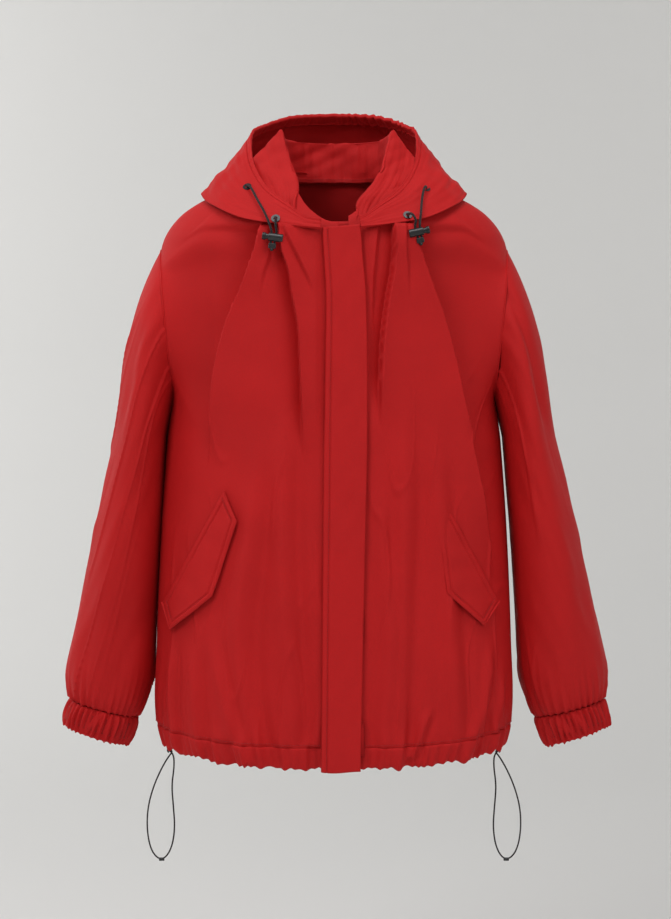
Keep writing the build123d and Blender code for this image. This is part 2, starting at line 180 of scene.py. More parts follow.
RED = (0.47, 0.0068, 0.0076)
FINISHES = {
    "shell_cloth": finish("shell_cloth", RED, 0.72, sheen=0.0, weave=0.7, blotch=0.05,
                          grain=0.16, grain_size=620.0),
    "lining_cloth": finish("lining_cloth", [c * 0.8 for c in RED], 0.7, weave=0.8),
    "elastic_webbing": finish("elastic_webbing", [c * 0.75 for c in RED], 0.8, sheen=0.1,
                              weave=1.2, pitch=0.0016, relief=0.6),
    "zip_tape": finish("zip_tape", [c * 0.7 for c in RED], 0.75, weave=1.0, pitch=0.0009,
                       relief=0.5, space="Object"),
    "zip_plastic": finish("zip_plastic", [c * 0.8 for c in RED], 0.42, blotch=0.04, grain=0.1,
                          relief=0.08),
    "blackened_metal": finish("blackened_metal", (0.022, 0.022, 0.024), 0.34, metallic=0.6,
                              coat=0.25, grain=0.3, relief=0.12),
    "hook_and_loop": finish("hook_and_loop", [c * 0.75 for c in RED], 0.9, weave=2.0,
                            pitch=0.0013, relief=0.9, space="Object"),
    "black_cord": finish("black_cord", (0.013, 0.013, 0.015), 0.62, sheen=0.15, weave=1.6,
                         pitch=0.0011, relief=0.7),
    "black_plastic": finish("black_plastic", (0.016, 0.016, 0.017), 0.36, coat=0.15, blotch=0.2,
                            grain=0.2, relief=0.16),
}
THREAD = finish("sewing_thread", (0.36, 0.009, 0.010), 0.6, grain=0.1)
for part in frame["record"]["subparts"]:
    cad = NODES[part["node"]]
    cad.data.materials.clear()
    cad.data.materials.append(FINISHES[part["material_slot"]])


# ---- curves and meshes ----
def through(x, xs, ys):
    """Smooth curve through the points (xs, ys): cubic pieces that share their slopes."""
    xs, ys = np.asarray(xs, float), np.asarray(ys, float)
    slopes = np.gradient(ys, xs)
    x = np.clip(x, xs[0], xs[-1])
    i = np.clip(np.searchsorted(xs, x, side="right") - 1, 0, len(xs) - 2)
    h = xs[i + 1] - xs[i]
    t = (x - xs[i]) / h
    return (ys[i] * (2 * t ** 3 - 3 * t ** 2 + 1) + slopes[i] * h * (t ** 3 - 2 * t ** 2 + t)
            + ys[i + 1] * (3 * t ** 2 - 2 * t ** 3) + slopes[i + 1] * h * (t ** 3 - t ** 2))


def ease(t):
    """0 before 0, 1 after 1, and a smooth step between."""
    t = np.clip(t, 0.0, 1.0)
    return t * t * (3 - 2 * t)


def bell(d, width):
    return np.exp(-(d / width) ** 2)


def drift(a, b, size, seed, count=7):
    """Slow wander over two lengths: a sum of sine waves in seeded directions, about -1 to 1."""
    rng = np.random.default_rng(seed)
    total = np.zeros(np.broadcast(a, b).shape)
    for _ in range(count):
        turn, pace, start = rng.uniform(0, np.pi), rng.uniform(0.6, 1.7), rng.uniform(0, 6.28)
        total += np.sin((a * np.cos(turn) + b * np.sin(turn)) * pace * 6.28 / size + start)
    return total / count ** 0.5 * 0.8


def puckers(a, pitch, seed, sharp=0.55):
    """Gathers along a length: rounded crests parted by narrow valleys, unevenly spaced.

    The height is 1 - |cos|^sharp of a phase that runs on at a wandering pace, from 0 to 1."""
    phase = np.pi * a / pitch + 1.5 * drift(a, a * 0.3, pitch * 5, seed, 5)
    size = 0.72 + 0.28 * drift(a, a * 0.2, pitch * 2.3, seed + 1, 5)
    return size * (1 - np.abs(np.cos(phase)) ** (1 / sharp))


def creases(a, b, size, seed):
    """Thin raised folds where a slow wander crosses zero, each fading out along its length."""
    ridge = np.exp(-(drift(a, b, size, seed) / 0.10) ** 2)
    return ridge * ease(drift(a, b, size * 1.4, seed + 40) + 0.35)


def ring_puckers(phi, count, seed, sharp=0.55):
    """Gathers round a tube, as puckers() but meeting themselves after a full turn."""
    a, b = 60 * np.cos(phi), 60 * np.sin(phi)
    phase = phi * count / 2 + 1.3 * drift(a, b, 90, seed, 5)
    size = 0.72 + 0.28 * drift(a, b, 38, seed + 1, 5)
    return size * (1 - np.abs(np.cos(phase)) ** (1 / sharp))


def normals(points):
    """Unit vector square to a grid of points, from its two directions."""
    across = np.gradient(points, axis=1)
    along = np.gradient(points, axis=0)
    return unit(np.cross(across, along))


def push(points, amount, inside):
    """Grid moved outwards along its normals, away from the point inside."""
    square = normals(points)
    away = points - np.asarray(inside, float)
    sign = np.sign(np.sum(square * away))
    return points + square * np.asarray(amount * sign)[..., None]


def settle(obj):
    """Apply the modifiers that a piece was finished with."""
    graph = bpy.context.evaluated_depsgraph_get()
    made = bpy.data.meshes.new_from_object(obj.evaluated_get(graph))
    obj.modifiers.clear()
    obj.data = made
    return obj


def dress(obj, slot, material=None):
    """Give a piece the finish of its slot, or another one that counts as that slot."""
    obj.data.materials.clear()
    obj.data.materials.append(material or FINISHES[slot])
    return obj


def volume(verts, quads):
    """Volume that quads enclose, negative where they look inwards."""
    a, b, c, d = (verts[quads[:, k]] for k in range(4))
    return np.sum(a * np.cross(b, c) + a * np.cross(c, d))


def mesh(name, points, slot, body, inside=None, wrap=False, keep=None, thick=0.0):
    """Piece from a grid of points, rows by columns, with its lengths as its UV map.

    wrap joins the last column to the first, keep says which faces are made, thick gives the
    cloth its thickness inwards, and inside is a point that the faces look away from. Without
    one the faces enclose a volume."""
    rows, cols = points.shape[:2]
    quads = grid_quads(rows, cols, wrap)
    j = np.arange(quads.shape[1])[None, :]
    steps = np.linalg.norm(np.diff(points, axis=1), axis=2).mean(axis=0)
    width = np.concatenate([[0], np.cumsum(steps), [steps.sum() + steps.mean()]])
    steps = np.linalg.norm(np.diff(points, axis=0), axis=2).mean(axis=1)
    height = np.concatenate([[0], np.cumsum(steps)])
    jj = np.broadcast_to(j, quads.shape[:2])
    ii = np.broadcast_to(np.arange(rows - 1)[:, None], quads.shape[:2])
    u = np.stack([width[jj], width[jj + 1], width[jj + 1], width[jj]], -1)
    v = np.stack([height[ii], height[ii], height[ii + 1], height[ii + 1]], -1)
    if keep is None:
        keep = np.ones(quads.shape[:2], bool)
    quads, u, v = quads[keep], u[keep], v[keep]
    verts = points.reshape(-1, 3)
    if inside is None:
        turned = volume(verts - verts.mean(axis=0), quads) < 0
    else:
        a, b, c = verts[quads[:, 0]], verts[quads[:, 1]], verts[quads[:, 3]]
        look = np.cross(b - a, c - a)
        turned = np.sum(look * (a - np.asarray(inside, float))) < 0
    if turned:
        quads, u, v = quads[:, ::-1], u[:, ::-1], v[:, ::-1]
    used, quads = np.unique(quads, return_inverse=True)
    quads = quads.reshape(-1, 4)
    data = bpy.data.meshes.new(name)
    data.from_pydata((verts[used] * MM).tolist(), [], quads.tolist())
    layer = data.uv_layers.new(name="UVMap")
    flat = np.stack([u.ravel(), v.ravel()], 1) * MM
    layer.data.foreach_set("uv", flat.ravel())
    data.polygons.foreach_set("use_smooth", np.ones(len(quads), bool))
    obj = place(name, data)
    dress(obj, slot)
    if thick:
        wall = obj.modifiers.new("thickness", "SOLIDIFY")
        wall.thickness = thick * MM
        wall.offset = -1.0
        settle(obj)
    if body:
        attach(obj, body)
    return obj


def stitches(name, path, out, body, pitch=3.4, length=2.3, radius=0.32):
    """Row of sewn stitches: small eight-sided spindles laid along a path of points.

    out is the path's outward direction at each point, which lifts them onto the cloth."""
    run = run_along(path)
    marks = np.arange(pitch / 2, run[-1] - pitch / 2, pitch)
    at = np.stack([np.interp(marks, run, path[:, k]) for k in range(3)], 1)
    ahead = unit(np.stack([np.interp(marks + 0.5, run, path[:, k]) for k in range(3)], 1) - at)
    up = unit(np.stack([np.interp(marks, run, out[:, k]) for k in range(3)], 1))
    side = np.cross(ahead, up)
    turn = np.arange(6) * np.pi / 3
    rings = []
    for along, wide in ((-0.5, 0.25), (-0.3, 1.0), (0.3, 1.0), (0.5, 0.25)):
        ring = (at + ahead * along * length + up * radius * 0.5)[:, None, :]
        ring = ring + radius * wide * (side[:, None, :] * np.cos(turn)[None, :, None]
                                       + up[:, None, :] * np.sin(turn)[None, :, None])
        rings.append(ring)
    verts = np.stack(rings, 1).reshape(-1, 3)
    faces = []
    base = np.arange(len(marks))[:, None] * 24
    k = np.arange(6)
    for r in range(3):
        quad = np.stack([r * 6 + k, r * 6 + (k + 1) % 6, r * 6 + 6 + (k + 1) % 6, r * 6 + 6 + k], 1)
        faces.append((base[:, :, None] + quad[None]).reshape(-1, 4))
    caps = np.array([[0, 5, 4, 3], [0, 3, 2, 1], [18, 19, 20, 21], [18, 21, 22, 23]])
    faces.append((base[:, :, None] + caps[None]).reshape(-1, 4))
    faces = np.concatenate(faces)
    if volume(verts - verts.mean(axis=0), faces) < 0:
        faces = faces[:, ::-1]
    data = bpy.data.meshes.new(name)
    data.from_pydata((verts * MM).tolist(), [], faces.tolist())
    data.polygons.foreach_set("use_smooth", np.ones(len(data.polygons), bool))
    obj = place(name, data)
    dress(obj, "shell_cloth", THREAD)
    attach(obj, body)
    return obj


# ---- cords: the same routes as the part's own ----
EYELETS = {
    "left": (((115.69, -81.02, 11.63), (0.218, -0.749, 0.626)),
             ((91.75, -115.57, -25.94), (0.114, -0.839, 0.532))),
    "right": (((-108.92, -81.49, 13.44), (-0.219, -0.749, 0.626)),
              ((-72.28, -121.24, -30.76), (-0.130, -0.864, 0.486))),
}
LOCKS = {
    "left": dict(side=1, at=(106, -128, -47), tip=12,
                 down=[(113.5, -92.5, 13.0), (110.0, -104.0, -4.0), (108.5, -119.0, -22.0)],
                 up=[(102.5, -130.0, -33.0), (97.0, -128.5, -24.0)], length=0.1471),
    "right": dict(side=-1, at=(-76, -131, -54), tip=8,
                  down=[(-104.5, -93.0, 13.5), (-96.5, -107.5, -3.5), (-86.0, -123.5, -22.0)],
                  up=[(-72.5, -132.5, -39.5), (-72.0, -131.0, -29.5)], length=0.1577),
}
HEM_LOOP = [
    (211.5, -30, -704), (206.0, -32, -707), (205.0, -33, -724), (208.5, -34, -748),
    (206.0, -35, -775), (204.0, -36, -802), (207.5, -36, -826), (216.0, -36, -841),
    (226.0, -36, -842), (235.5, -36, -829), (240.0, -36, -804), (239.0, -35, -776),
    (232.0, -33, -750), (222.5, -28, -728), (213.0, -20, -712), (207.5, -15, -706.5),
    (213.5, -14, -703.5),
]
HOOD_CORD_D = 3.0
LOOP_CORD_D = 2.0


def cord(name, points, diameter, body, node_name):
    """Round braided cord along one smooth spline that has the route's points as its controls."""
    curve = bpy.data.curves.new(name, "CURVE")
    curve.dimensions = "3D"
    curve.bevel_depth = diameter / 2 * MM
    curve.bevel_resolution = 4
    curve.resolution_u = 12
    curve.use_fill_caps = True
    line = curve.splines.new("NURBS")
    line.points.add(len(points) - 1)
    for point, spot in zip(line.points, points):
        point.co = (*(c * MM for c in spot), 1.0)
    line.order_u = 3
    line.use_endpoint_u = True
    obj = place(name, curve)
    dress(obj, "black_cord")
    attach(obj, body)
    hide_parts(node_name)
    return obj


def hood_cord(side):
    """Upper eyelet, down through the lock, round in the cord end and up to the lower eyelet."""
    lock = LOCKS[side]
    turn = np.radians(lock["tip"]) * lock["side"]
    along = np.array([np.cos(turn) * lock["side"], 0, np.sin(turn) * lock["side"]])
    up = np.array([-np.sin(turn), 0, np.cos(turn)])
    spot = lambda x, z: np.array(lock["at"]) + along * (x - 1.0) + up * z
    (top, top_out), (low, low_out) = (map(np.array, e) for e in EYELETS[side])
    points = [top + top_out * 0.6, top + top_out * 5.5] + lock["down"]
    points += [spot(3.0, 8.5), spot(2.7, 0.5), spot(2.4, -5.5), spot(2.3, -11.0)]
    points += [spot(-2.3, -11.0), spot(-2.4, -5.5), spot(-2.7, 0.5), spot(-3.0, 8.5)]
    points += lock["up"] + [low + low_out * 4.5, low + low_out * 0.6]
    cord(f"hood_cord_{side}_braid", points, HOOD_CORD_D, "hood",
         f"hood_cord_{side}")


for side in ("left", "right"):
    sign = 1 if side == "left" else -1
    hood_cord(side)
    cord(f"hem_loop_{side}_braid", [(sign * x, y, z) for x, y, z in HEM_LOOP], LOOP_CORD_D,
         "jacket", f"hem_cord_loop_{side}")


# ---- torso ----
# Level sections: height, half width, y of the front, y of the back. They are rounded squares.
TORSO = np.array([
    (-716, 216, -136, 110), (-694, 224, -138, 114), (-650, 230.5, -137.5, 116),
    (-560, 229, -135.8, 118), (-400, 222.5, -131.5, 120), (-250, 212, -127.5, 122),
    (-130, 205, -124.3, 118), (-85, 210, -123, 110), (-50, 221, -121.0, 98),
    (-27, 210, -114, 90), (-9, 190, -104, 83), (0, 176, -100, 80), (22, 130, -88, 74),
    (38, 96, -80, 71), (46, 70, -73, 67), (50, 56, -68, 64),
])
SQUARENESS = 2.2
NECK_HALF, NECK_DEEP, NECK_Y = 70.0, 92.5, -24.5
ZIP_X, ZIP_HALF = 12.0, 6.0
HEM_LOW, HEM_RISE = -714.0, 17.0
CHANNEL = 27.0           # height of the gathered hem channel
HEM_ROWS = 16            # rows of the grid in it
SHOULDER = 98.0          # half height of the armhole, whose middle is ARM_Z
ARM_Z, ARM_X, ARM_LEAN, ARM_DEEP = -156.0, 214.5, 9.7, 74.0


def torso_at(theta, z):
    """Point at an angle from the front and a height: x = a sin^(2/n), y = mid - b cos^(2/n)."""
    half, front, back = (through(z, TORSO[:, 0], TORSO[:, k]) for k in (1, 2, 3))
    s, c = np.sin(theta), np.cos(theta)
    x = half * np.sign(s) * np.abs(s) ** (2 / SQUARENESS)
    y = (front + back) / 2 - (back - front) / 2 * np.sign(c) * np.abs(c) ** (2 / SQUARENESS)
    return spots(x, y, z)


def front_y(x, z):
    """y of the torso's front at a place across it and a height."""
    half, front, back = (through(z, TORSO[:, 0], TORSO[:, k]) for k in (1, 2, 3))
    share = np.clip(1 - (np.abs(x) / half) ** SQUARENESS, 0, 1)
    return (front + back) / 2 - (back - front) / 2 * share ** (1 / SQUARENESS)


PLEAT_EDGE = 1.7         # width of the step at a pleat's edge
# Pleats that fan down from the neck: line of (x, z), which side is raised (+1 is +X), how high,
# how deep the cloth beyond the edge sinks, and how wide it rises and sinks.
PLEATS = [
    ([(-91, -36), (-97, -60), (-111.5, -107), (-131, -157), (-144, -207), (-152, -262),
      (-158, -340)], 1, 13.0, 13.0, 46, 46, 0.62),
    ([(-68, -50), (-64, -70), (-56, -95), (-52, -124), (-45, -162), (-42.5, -207), (-40, -263),
      (-38, -330)], 1, 10.5, 12.0, 20, 18, 0.7),
    ([(-60, -48), (-50, -66), (-40, -86), (-31, -106), (-24, -130)], 1, 2.5, 3.5, 14, 10, 0.5),
    ([(73, -40), (74.5, -60), (73, -88), (67, -124), (61, -170), (58.4, -212), (57, -290)],
     1, 10.5, 12.0, 20, 15, 0.7),
    ([(98, -44), (104, -61), (119, -107), (131.6, -142), (144, -188), (157.6, -251), (175, -340),
      (191, -414), (203, -470)], -1, 14.0, 17.0, 44, 50, 0.76),
    ([(55, -44), (54, -62), (51, -90), (49, -130), (50, -175)], -1, 3.0, 4.0, 9, 8, 0.5),
    ([(88, -46), (88, -64), (90, -92), (92, -130)], -1, 2.2, 2.6, 8, 8, 0.4),
    ([(-80, -50), (-79, -72), (-86, -100), (-92, -132)], -1, 2.4, 2.4, 9, 9, 0.4),
]
# Soft folds of the hanging cloth: line of (x, z), height, half width.
FOLDS = [
    ([(-96, -330), (-106, -430), (-118, -560), (-112, -640), (-100, -700)], 4.5, 17),
    ([(-150, -560), (-141, -610), (-128, -660), (-112, -705)], 3.6, 12),
    ([(-62, -260), (-64, -380), (-60, -520), (-54, -620), (-50, -700)], 4.2, 15),
    ([(-180, -560), (-176, -640), (-172, -700)], 3.4, 11),
    ([(-206, -560), (-207, -640), (-204, -692)], 4.0, 7),
    ([(84, -250), (86, -380), (82, -520), (76, -640), (72, -700)], 3.8, 17),
    ([(122, -300), (134, -430), (146, -560), (152, -680)], 4.2, 15),
    ([(196, -560), (192, -610), (182, -660), (170, -700)], 4.4, 9),
    ([(118, -640), (108, -668), (96, -700)], 3.2, 8),
    ([(214, -600), (208, -650), (203, -690)], 3.2, 7),
    ([(60, -330), (60, -440), (66, -560), (58, -660)], 2.6, 11),
]


def line_x(points, z):
    """x of a line of (x, z) points at each height, with how far down the line it is, 0 to 1."""
    xs, zs = np.array(points, float)[::-1].T
    return through(z, zs, xs), (zs[-1] - z) / (zs[-1] - zs[0])


def drape(x, z):
    """How far the front cloth stands out: pleat steps, soft folds and a slow wander.

    A pleat falls steeply from its raised edge to a trough, and both fade away from the line."""
    out = 1.2 * drift(x, z * 0.35, 150, 3) + 0.45 * drift(x, z * 0.5, 55, 4)
    for points, side, rise, sink, wide, far, reach in PLEATS:
        line, down = line_x(points, z)
        d = (line - x) * side
        fade = ease(down / 0.10 + 1.3) * (1 - ease((down - reach) / (1.02 - reach)))
        over = ease(d / PLEAT_EDGE + 0.5)
        lip = rise * np.exp(np.minimum(d, 0) / wide)
        trough = -sink * np.exp(-np.maximum(d, 0) / far)
        out = out + fade * ((1 - over) * lip + over * trough)
    middle = ease((-z - 150) / 120) * ease((z + 690) / 60)
    out = out + 1.7 * creases(x * 1.1 + 20, z * 0.28, 78, 9) * middle
    for points, rise, wide in FOLDS:
        line, down = line_x(points, z)
        d = x - line
        fade = ease((down + 0.1) / 0.45) * (1 - ease((down - 1.0) / 0.12))
        crest = bell(d, wide * 0.8) - 0.6 * bell(d - wide * 1.3, wide * 0.6)
        out = out + 1.35 * fade * rise * crest
    return out


def torso_grid(rows=236, fronts=200, backs=200):
    """Grid from the zip edge round the wearer's left side and the back to the other zip edge.

    Each column runs from the hem to where the cloth meets the neck opening, an upright oval."""
    f = np.linspace(0, 1, fronts)
    side = np.pi / 2
    z_dense = np.linspace(-720, 50, 500)[:, None]
    theta = np.concatenate([f * side, np.linspace(side, 3 * side, backs)[1:-1],
                            2 * np.pi - f[::-1] * side])
    column = np.arange(len(theta))
    near = np.concatenate([1 - f, np.zeros(backs - 2), 1 - f[::-1]])
    left = column < len(theta) / 2

    def bent(z):
        """Angles drawn in so that the first and last columns keep to the zip's two edges."""
        half = through(z, TORSO[:, 0], TORSO[:, 1])
        edge_l = np.arcsin(((ZIP_X + ZIP_HALF) / half) ** (SQUARENESS / 2))
        edge_r = np.arcsin(((ZIP_X - ZIP_HALF) / half) ** (SQUARENESS / 2))
        return np.where(left, theta + near * edge_l, theta + near * edge_r)

    dense = torso_at(bent(z_dense), z_dense)
    inside = (dense[..., 0] / NECK_HALF) ** 2 + ((dense[..., 1] - NECK_Y) / NECK_DEEP) ** 2 < 1
    first = np.argmax(inside, axis=0)
    top = z_dense[np.where(first > 0, first, len(z_dense) - 1), 0]
    smoothing = np.ones(9) / 9
    top = np.convolve(np.pad(top, 4, mode="edge"), smoothing, "valid")
    low = HEM_LOW + HEM_RISE * np.abs(np.sin(theta)) ** 3
    hem = low + CHANNEL * np.linspace(0, 1, HEM_ROWS + 1)[:-1, None]
    v = np.linspace(0, 1, rows - HEM_ROWS)[:, None]
    v = 0.78 * v + 0.22 * (1 - (1 - v) ** 2)
    z = np.concatenate([hem, low + CHANNEL + (top - low - CHANNEL) * v])
    return torso_at(bent(z), z), theta, low


def gather_hem(points, low):
    """Puckers in and above the drawn hem channel, its seam, and the scalloped lower edge."""
    around = run_along(points[20])
    up = points[..., 2] - low
    flat = 1 - ease((np.abs(around - around[-1] / 2) - around[-1] / 2 + 26) / 18)
    coarse = puckers(around, 34, 11) * flat
    fine = puckers(around, 13, 21) * flat
    crests = coarse * 0.6 + fine * 0.4
    lean = drift(around, around * 0, 120, 8)
    shifted = puckers(around + up * 0.35 * lean, 34, 11) * flat
    channel = 1 - ease((up - CHANNEL) / 3)
    above = np.exp(-np.maximum(up - CHANNEL, 0) / 30)
    amount = 5.2 * (crests - 0.5) * channel + 6.4 * (shifted - 0.5) * above * (1 - channel)
    amount -= 0.8 * bell(up - CHANNEL, 1.4) + 1.5 * bell(up, 2.0)
    amount -= 1.2 * ease((CHANNEL - up) / CHANNEL) * flat
    points = push(points, amount, (0, 0, -300))
    points[..., 2] -= (5.0 * (crests - 0.45) * flat) * ease(1 - up / 34)
    return points


def armhole(phi):
    """Loop of the left armhole: an oval on a plane that leans in downwards, phi 0 at its top."""
    turn = np.radians(ARM_LEAN / 1.75)
    x = ARM_X + SHOULDER * np.cos(phi) * np.sin(turn)
    return np.stack([x, -ARM_DEEP * np.sin(phi), ARM_Z + SHOULDER * np.cos(phi)], -1)


def open_armholes(points, theta):
    """Pull the grid round each armhole onto its loop, and say which faces stay."""
    rows, cols = points.shape[:2]
    keep = np.ones((rows, cols), bool)
    for sign, angle in ((1, np.pi / 2), (-1, 1.5 * np.pi)):
        mid = int(np.argmin(np.abs(theta - angle)))
        row = int(np.argmin(np.abs(points[:, mid, 2] - ARM_Z)))
        run = run_along(points[row])
        p = (run - run[mid])[None, :] * -sign / 54.0
        q = (points[:, mid, 2] - ARM_Z)[:, None] / 76.0
        far = np.maximum(np.abs(p), np.abs(q))
        phi = np.arctan2(p, q)
        loop = armhole(phi)
        loop[..., 0] *= sign
        pull = (1 - ease((far - 1.04) / 0.9))[..., None]
        points = np.where((far < 1.95)[..., None], points * (1 - pull) + loop * pull, points)
        keep &= far >= 1 - 1e-6
    return points, keep[:-1, :-1] & keep[1:, :-1] & keep[:-1, 1:] & keep[1:, 1:]


def torso():
    """Front panels, back panel and hem channel, cut from one grid, and the elastic inside."""
    points, theta, low = torso_grid()
    front = np.minimum(theta, 2 * np.pi - theta)
    on_front = 1 - ease((front - 1.05) / 0.45)
    x, z = points[..., 0], points[..., 2]
    level = ease((-z - 33) / 9)
    out = drape(x, z) * on_front * ease((np.abs(x - ZIP_X) - 22) / 14)
    back = 2.2 * drift(x, z * 0.4, 160, 31) + 3.0 * np.sin(x / 21 + z / 300) * ease((-z - 60) / 300)
    out += back * ease((front - 1.9) / 0.5)
    points = push(points, out * level, (0, 0, -300))
    points = gather_hem(points, low)
    points, keep = open_armholes(points, theta)
    mid = (front[:-1] + front[1:]) / 2
    left = theta[:-1] < np.pi
    low_rows = (np.arange(len(points) - 1) < HEM_ROWS)[:, None]
    pieces = {
        "front_panel_left": keep & ~low_rows & (mid < np.pi / 2) & left,
        "front_panel_right": keep & ~low_rows & (mid < np.pi / 2) & ~left,
        "back_panel": keep & ~low_rows & (mid >= np.pi / 2),
        "hem_channel": keep & low_rows,
    }
    for name, mask in pieces.items():
        piece = mesh(f"{name}_cloth", points, "shell_cloth", "jacket", inside=(0, 0, -300),
                     keep=mask, thick=CLOTH)
        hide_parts(name)
    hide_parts("flap_seam_fold")
    seam = points[HEM_ROWS + 1]
    square = normals(points)[HEM_ROWS + 1]
    square *= np.sign(np.sum(square * (seam - np.array([0, 0, -300]))))
    stitches("hem_stitches", seam + square * 0.1, square, "jacket")
    inner = push(points[:24], -9.0, (0, 0, -300))
    ribs = np.arange(inner.shape[1])
    inner = push(inner, np.broadcast_to(0.5 * np.sin(ribs * 1.9), inner.shape[:2]), (0, 0, -300))
    elastic = mesh("hem_elastic_band", inner[3:], "elastic_webbing", "jacket",
                   inside=(0, 0, -300), thick=1.2)
    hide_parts("hem_elastic")


torso()


# ---- sleeves and cuffs ----
# Sections of the left sleeve: x, z, half width, half depth, lean in degrees.
SLEEVE = np.array([
    (250.7, -300, 33.5, 88, 0), (260.5, -366, 39.0, 84, 0), (270.2, -434, 44.2, 80, 0),
    (284.7, -540, 52.4, 68, 0), (292.2, -600, 57.0, 61, 3), (297.5, -632, 53.0, 56, 11),
    (301.0, -651, 46.5, 51, 15),
])
CUFF = np.array([
    (301.0, -651, 46.0, 50, 15), (303.2, -659, 47.8, 51.4, 16), (307.5, -672, 47.8, 51, 17),
    (311.0, -684, 45.6, 48.0, 18), (311.5, -686, 43.0, 45, 18), (309.0, -678, 42.0, 44.5, 17),
    (304.5, -662, 42.5, 45.0, 16),
])
SPLAY = {1: 3.5, -1: -2.5}   # how much further out the lower sleeve hangs on each side


def sections(table, t, phi):
    """Ovals strung along a table of sections, each tilted by its lean; t counts sections."""
    count = np.arange(len(table))
    x, z, half, deep, lean = (through(t, count, table[:, k])[:, None] for k in range(5))
    lean = np.radians(lean)
    across = half * np.cos(phi)
    return spots(x + across * np.cos(lean), -deep * np.sin(phi), z + across * np.sin(lean))


def hang_sleeve(phi, rows=58):
    """Upper sleeve: each strip leaves the armhole loop outwards and bends down to the first
    section, on a cubic whose two end directions are given."""
    start = armhole(phi)
    end = sections(SLEEVE, np.array([0.0]), phi)[0]
    reach = np.linalg.norm(end - start, axis=1)[:, None]
    top = (1 + np.cos(phi))[:, None] / 2
    leave = np.stack([0.52 * np.ones_like(phi), -0.42 * np.sin(phi), -0.95 + 0 * phi], 1)
    leave = leave * (0.35 + 0.75 * top)
    arrive = np.array([0.155, 0.0, -1.0])
    t = np.linspace(0, 1, rows)[:, None, None]
    return (start * (2 * t ** 3 - 3 * t ** 2 + 1) + leave * reach * (t ** 3 - 2 * t ** 2 + t)
            + end * (3 * t ** 2 - 2 * t ** 3) + arrive * reach * (t ** 3 - t ** 2))


def sleeve(side, sign):
    phi = np.linspace(0, 2 * np.pi, 190, endpoint=False)
    t = np.linspace(0, len(SLEEVE) - 1, 118)
    points = np.concatenate([hang_sleeve(phi)[:-1], sections(SLEEVE, t, phi)])
    z = points[..., 2]
    around = phi * 52.0
    down = ease((-z - 90) / 90)
    a, b = 75 * np.cos(phi), 75 * np.sin(phi)
    soft = 1.5 * drift(a + z * 0.12, b, 95, 50 + sign) + 1.1 * drift(a, b + z * 0.3, 80, 51)
    soft += 0.5 * drift(a + z * 0.5, b, 46, 52)
    soft += 2.4 * creases(a + z * 0.22, b - z * 0.08, 64, 53 + sign)
    to_cuff = np.exp(-np.maximum(z + 648 - 12 * np.cos(phi), 0) / 20)
    gathers = (ring_puckers(phi, 30, 60 + sign, 0.7) - 0.45) * 5.6 * to_cuff
    crease = -5.0 * bell(around - 52 * (1.15 + (z + 120) / 700), 9) * ease((-z - 90) / 40) \
        * (1 - ease((-z - 240) / 120)) * (1 if sign > 0 else 0.4)
    inner = ease((np.cos(phi + np.pi) - 0.55) / 0.35)
    calm = down * (1 - 0.85 * inner * ease((620 + z) / 60))
    last = 1 - ease((np.arange(len(points)) - len(points) + 5) / 4)[:, None]
    points = push(points, (soft * calm * last + gathers + crease - 1.6 * (1 - last)),
                  (262, 0, -330))
    points[..., 0] += SPLAY[sign] * ease((-z - 150) / 350)
    points[..., 0] *= sign
    piece = mesh(f"sleeve_{side}_cloth", points, "shell_cloth", None,
                 inside=(262 * sign, 0, -330), wrap=True, thick=CLOTH)
    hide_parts(f"sleeve_{side}")
    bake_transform(piece)
    ring = armhole(np.linspace(0, 2 * np.pi, 120, endpoint=False))
    ring[:, 0] *= sign
    out = unit(np.gradient(ring, axis=0))
    face = np.cross(out, np.array([1.0, 0, 0]))
    turn = np.linspace(0, 2 * np.pi, 8, endpoint=False)[:, None, None]
    welt = ring[None] + 1.0 * (face[None] * np.cos(turn) + np.array([1.0, 0, 0]) * np.sin(turn))
    welt = np.concatenate([welt, welt[:1]])
    seam = mesh(f"armhole_seam_{side}_welt", welt, "shell_cloth", "jacket", wrap=True)
    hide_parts(f"armhole_seam_{side}")


def cuff(side, sign):
    """Gathered cuff: it swells below its seam, turns in at the lower edge and runs back up."""
    phi = np.linspace(0, 2 * np.pi, 260, endpoint=False)
    t = np.concatenate([np.linspace(0, 3, 34), np.linspace(3, 4, 8)[1:], np.linspace(4, 6, 14)[1:]])
    points = sections(CUFF, t, phi)
    wave = ring_puckers(phi, 34, 80 + sign, 0.8)
    lean = ring_puckers(phi + t[:, None] * 0.04, 44, 90 + sign, 0.6)
    outer = ease(1 - (t - 3.0) / 1.0)[:, None]
    body = (5.6 * (wave - 0.5) + 2.4 * (lean - 0.5)) * outer
    body = body * ease(t / 0.35 + 0.25)[:, None] - 2.2 * bell(t, 0.16)[:, None]
    points = push(points, body, (306, 0, -667))
    points[..., 2] -= (2.4 * (wave - 0.5)) * bell(t - 3.4, 0.8)[:, None]
    points[..., 0] += SPLAY[sign]
    points[..., 0] *= sign
    piece = mesh(f"cuff_{side}_cloth", points, "shell_cloth", f"sleeve_{side}",
                 inside=(306 * sign, 0, -667), wrap=True, thick=CLOTH)
    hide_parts(f"cuff_{side}")
    band = sections(np.array([(303.6, -659, 45.6, 48.6, 16), (309.6, -677, 45.4, 47.6, 18)]),
                    np.linspace(0, 1, 12), phi)
    band = push(band, 0.4 * np.sin(phi * 60) * np.ones((12, 1)), (306, 0, -667))
    band[..., 0] += SPLAY[sign]
    band[..., 0] *= sign
    elastic = mesh(f"cuff_elastic_{side}_band", band, "elastic_webbing", f"sleeve_{side}",
                   inside=(306 * sign, 0, -667), wrap=True, thick=1.2)
    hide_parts(f"cuff_elastic_{side}")


for side, sign in (("left", 1), ("right", -1)):
    sleeve(side, sign)
    cuff(side, sign)


